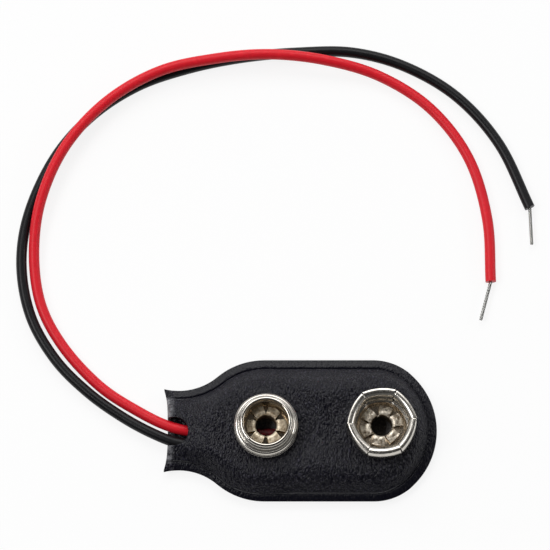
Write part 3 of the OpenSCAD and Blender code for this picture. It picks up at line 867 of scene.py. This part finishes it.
def grainPaint(name, spec):
    paint, tree, shader = newPaint(name, spec)
    place = addNode(tree, "ShaderNodeTexCoord").outputs["Object"]
    lie = addNode(tree, "ShaderNodeMapping", {
        "Vector": place, "Scale": spec.get("stretch", (1, 1, 1)), "Rotation": (0, 0, spec.get("lean", 0.0))})
    grain = addNode(tree, "ShaderNodeGroup", {
        "Vector": lie.outputs[0], "Cells": 1 / (spec["cell"] * mm), "Mottle": 1 / (spec["mottle"] * mm)},
        node_tree=pebbleGrain).outputs
    colour = colourBetween(tree, grain["Shade"], spec["dark"], spec["light"])
    rough, bump = valueBetween(tree, grain["Gloss"], *spec["rough"], noiseSpan), spec["bump"]
    if "weld" in spec:
        weld = spec["weld"]
        mask = weldMask(tree, place, weld)
        pressed = colourBetween(tree, grain["Shade"], spec["dark"], weld["light"])
        colour = colourBetween(tree, mask, colour, pressed)
        rough = valueBetween(tree, mask, rough, weld["rough"])
        bump = valueBetween(tree, mask, spec["bump"], weld["bump"])
        # painted highlight on the ridge beside the pressed border
        ridge = ridgeMask(tree, place, grain["Gloss"], weld)
        colour = colourBetween(tree, ridge, colour, weld["ridgeHighlight"])
    for patch in spec.get("patches", []):
        colour = patchColour(tree, place, colour, patch)
    tree.links.new(colour, shader.inputs["Base Color"])
    tree.links.new(rough, shader.inputs["Roughness"])
    bumpFrom(tree, shader, grain["Height"], bump, spec["depth"])
    return paint


def platedPaint(name, spec):
    paint, tree, shader = newPaint(name, spec)
    place = addNode(tree, "ShaderNodeTexCoord").outputs["Object"]
    plating = addNode(tree, "ShaderNodeGroup", {
        "Vector": place, "Blotch": 1 / (spec["blotch"] * mm), "Scratch": 1 / (spec["scratch"] * mm)},
        node_tree=handledPlating).outputs
    tint = valueBetween(tree, plating["Tint"], 0.0, 1.0, spec.get("contrast", (0.0, 1.0)))
    colour = colourBetween(tree, tint, spec["dark"], spec["light"])
    # inside the hollow the colour turns a tarnished brown, darkened as painted shade where the hollow lies in
    # shadow
    if "inside" in spec:
        reach, fade = spec["inside"]
        centred = addNode(tree, "ShaderNodeMapping", {
            "Vector": place, "Location": [-v * mm for v in spec["centre"]]})
        inside = addNode(tree, "ShaderNodeGroup", {
            "Vector": centred.outputs[0], "Reach": reach * mm, "Fade": fade * mm}, node_tree=tarnishedInside)
        brown = colourBetween(tree, plating["Tint"], *spec["tarnish"])
        colour = colourBetween(tree, inside.outputs["Mask"], colour, brown)
    rough = valueBetween(tree, plating["Gloss"], *spec["rough"], noiseSpan)
    tree.links.new(colour, shader.inputs["Base Color"])
    tree.links.new(rough, shader.inputs["Roughness"])
    bumpFrom(tree, shader, plating["Height"], spec["bump"], spec["depth"])
    return paint


# the finishes themselves

# the fold: wear together with a painted highlight where the rounded fold catches light from the left
foldWearAndHighlight = {
    "limits": [("X", -13.85, -14.5), ("Aside", 3.9, 3.3)],
    "blotch": 0.45, "least": 0.0, "colour": (0.22, 0.22, 0.235)}
wovenBack = {
    "limits": [("X", -11.4, -11.0), ("Aside", 3.4, 3.0), ("Z", 0.1, 0.2), ("Z", 0.7, 0.6)],
    "blotch": 0.3, "least": 0.6, "colour": (0.3, 0.28, 0.27)}
# painted shade on the red lead where it runs inside the cover, seen darkened down the stud's hole
leadShadeInsideCover = {
    "limits": [("X", -10.0, -8.0), ("Aside", 5.0, 4.0)],
    "blotch": 0.6, "least": 0.7, "colour": (0.11, 0.022, 0.026)}
# the pressed border, with a painted highlight on the ridge along its inner edge
weldBorder = {
    "top": 1.13, "bottom": 0.36, "start": -14.0, "fade": 0.15, "light": (0.004, 0.0038, 0.0075),
    "rough": 0.34, "bump": 0.25, "ridge": 1.25, "ridgeWidth": 0.07, "ridgeHighlight": (0.2, 0.2, 0.21),
    "leastShine": 0.25, "shineSpan": (0.4, 0.6)}
leatherette = grainPaint("leatherette", {
    "dark": (0.0009, 0.0008, 0.0045), "light": (0.028, 0.0266, 0.0405), "rough": (0.25, 0.36),
    "cell": 0.315, "mottle": 3.5, "stretch": (1.1, 0.64, 1.0), "lean": 0.35, "bump": 0.56, "depth": 0.1,
    "specular": 0.25, "weld": weldBorder, "patches": [foldWearAndHighlight, wovenBack]})
vinyl = {"cell": 0.7, "mottle": 2.5, "bump": 0.15, "depth": 0.012}
redVinyl = grainPaint("redVinyl", {
    **vinyl, "dark": (0.67, 0.0108, 0.0216), "light": (0.75, 0.0132, 0.0264), "rough": (0.36, 0.46),
    "specular": 0.25, "patches": [leadShadeInsideCover]})
blackVinyl = grainPaint("blackVinyl", {
    **vinyl, "dark": (0.0046, 0.0046, 0.0058), "light": (0.007, 0.007, 0.0085), "rough": (0.3, 0.42),
    "specular": 0.22})
pressedFibre = grainPaint("pressedFibre", {
    "dark": (0.2, 0.12, 0.06), "light": (0.36, 0.24, 0.14), "rough": (0.7, 0.9), "cell": 0.12,
    "mottle": 0.8, "bump": 0.5, "depth": 0.03, "specular": 0.3})
# inside the cups the plating turns a tarnished brown, darker in the stud's cup as painted shade
nickelFinish = {
    "dark": (0.48, 0.452, 0.41), "light": (0.74, 0.705, 0.645), "rough": (0.13, 0.28), "blotch": 1.2,
    "scratch": 0.12, "bump": 0.15, "depth": 0.006, "metallic": 1.0,
    "tarnish": ((0.28, 0.214, 0.142), (0.56, 0.46, 0.34))}
studNickel = platedPaint("studNickel", {**nickelFinish, "centre": studPlace, "inside": (2.45, 2.6)})
socketNickel = platedPaint("socketNickel", {
    **nickelFinish, "centre": socketPlace, "inside": (2.7, 2.85), "rough": (0.24, 0.4),
    "tarnish": ((0.38, 0.3, 0.21), (0.74, 0.62, 0.48))})
# the eyelet's bore is near black: tarnished, with painted shade
eyeletFinish = {
    "rough": (0.46, 0.68), "contrast": (0.34, 0.62), "inside": (1.14, 1.22),
    "tarnish": ((0.05, 0.036, 0.022), (0.12, 0.09, 0.06))}
studBrass = platedPaint("studEyeletMetal", {
    **eyeletFinish, "centre": studPlace, "dark": (0.42, 0.31, 0.19), "light": (1.0, 0.89, 0.69),
    "metallic": 0.45, "blotch": 0.4, "scratch": 0.2, "bump": 0.7, "depth": 0.03})
socketBrass = platedPaint("socketEyeletMetal", {
    **eyeletFinish, "centre": socketPlace, "dark": (0.2, 0.145, 0.095), "light": (1.0, 0.92, 0.78),
    "metallic": 0.8, "blotch": 0.36, "scratch": 0.28, "bump": 0.8, "depth": 0.045})
tinnedMetal = platedPaint("tinnedMetal", {
    "dark": (0.28, 0.28, 0.27), "light": (0.56, 0.56, 0.54), "rough": (0.16, 0.3), "blotch": 0.5,
    "scratch": 0.08, "bump": 0.2, "depth": 0.006, "metallic": 1.0})
dullSolder = platedPaint("dullSolder", {
    "dark": (0.42, 0.43, 0.45), "light": (0.6, 0.61, 0.63), "rough": (0.38, 0.6), "blotch": 0.4,
    "scratch": 0.1, "bump": 0.4, "depth": 0.02, "metallic": 1.0})

finishes = {
    weldedCover: leatherette, redInsulation: redVinyl, blackInsulation: blackVinyl, studCup: studNickel,
    socketLeaves: socketNickel, studEyelet: studBrass, socketEyelet: socketBrass, redStrands: tinnedMetal,
    blackStrands: tinnedMetal, nodes["insulator_board"]: pressedFibre, nodes["stud_tag"]: tinnedMetal,
    nodes["socket_tag"]: tinnedMetal, nodes["stud_solder"]: dullSolder, nodes["socket_solder"]: dullSolder,
    nodes["red_inner_core"]: tinnedMetal, nodes["black_inner_core"]: tinnedMetal,
}
for piece, paint in finishes.items():
    piece.data.materials.clear()
    piece.data.materials.append(paint)
print("finishes: set on", len(finishes), "pieces")


# the leads ride last, once their finish is on

for lead, spec, strands, node, slotName in (
        (redInsulation, redLead, redStrands, "red_lead", "red_insulation"),
        (blackInsulation, blackLead, blackStrands, "black_lead", "black_insulation")):
    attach(lead, "root")
    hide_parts(node)


# floor, sky and lamps, in metres

studioSpec = {
    "floorSize": 3.0, "floorColor": (0.95, 0.95, 0.95), "floorRough": 0.9, "floorGlow": 0.86,
    "skyBack": 0.6, "skyFront": 0.12, "skyTop": 0.15, "backSpan": (-0.6, 0.8), "topSpan": (0.6, 0.9),
    "lamps": {
        "backSoftbox": {"place": (-0.05, 0.47, 0.53), "size": (0.7, 0.4), "power": 2.8},
        "leftStrip": {"place": (-0.42, 0.0, 0.55), "size": (0.4, 0.24), "power": 2.0},
        "rightStrip": {"place": (0.6, 0.1, 0.3), "size": (0.35, 0.14), "power": 0.6},
    },
}


def addFloor(spec):
    deselectAll()
    bpy.ops.mesh.primitive_plane_add(size=spec["floorSize"], location=(0, 0, 0))
    floor = bpy.context.object
    floor.name = "paleFloor"
    paint = bpy.data.materials.new("floorPaint")
    paint.use_nodes = True
    tree = paint.node_tree
    shader = tree.nodes["Principled BSDF"]
    shader.inputs["Base Color"].default_value = (*spec["floorColor"], 1)
    shader.inputs["Roughness"].default_value = spec["floorRough"]
    glow = addNode(tree, "ShaderNodeEmission", {"Strength": 1.0})
    rays = addNode(tree, "ShaderNodeLightPath").outputs
    seen = mathOf(tree, "MAXIMUM", rays["Is Camera Ray"], rays["Is Glossy Ray"])
    seen = mathOf(tree, "MAXIMUM", seen, rays["Is Transmission Ray"])
    share = mathOf(tree, "MULTIPLY", seen, spec["floorGlow"])
    blend = addNode(tree, "ShaderNodeMixShader", {0: share, 1: shader.outputs[0], 2: glow.outputs[0]})
    tree.links.new(blend.outputs[0], tree.nodes["Material Output"].inputs["Surface"])
    floor.data.materials.append(paint)


def addSky(spec):
    sky = bpy.data.worlds.new("studioSky")
    scene.world = sky
    sky.use_nodes = True
    tree = sky.node_tree
    way = addNode(tree, "ShaderNodeTexCoord").outputs["Generated"]
    parts = addNode(tree, "ShaderNodeSeparateXYZ", {"Vector": way}).outputs
    back = valueBetween(tree, parts["Y"], spec["skyFront"], spec["skyBack"], spec["backSpan"])
    top = valueBetween(tree, parts["Z"], 1.0, spec["skyTop"], spec["topSpan"], "SMOOTHSTEP")
    light = tree.nodes["Background"].inputs
    tree.links.new(mathOf(tree, "MULTIPLY", back, top), light["Strength"])
    light["Color"].default_value = (1, 1, 1, 1)


def addLamps(spec):
    for name, lamp in spec["lamps"].items():
        place = Vector(lamp["place"])
        aim = (-place).to_track_quat("-Z", "Y").to_euler()
        bpy.ops.object.light_add(type="AREA", location=place, rotation=aim)
        made = bpy.context.object
        made.name = name
        made.data.shape = "RECTANGLE"
        made.data.size, made.data.size_y = lamp["size"]
        made.data.energy = lamp["power"]


addFloor(studioSpec)
addSky(studioSpec)
addLamps(studioSpec)
scene.view_settings.view_transform = "Standard"
print("studio: lit")
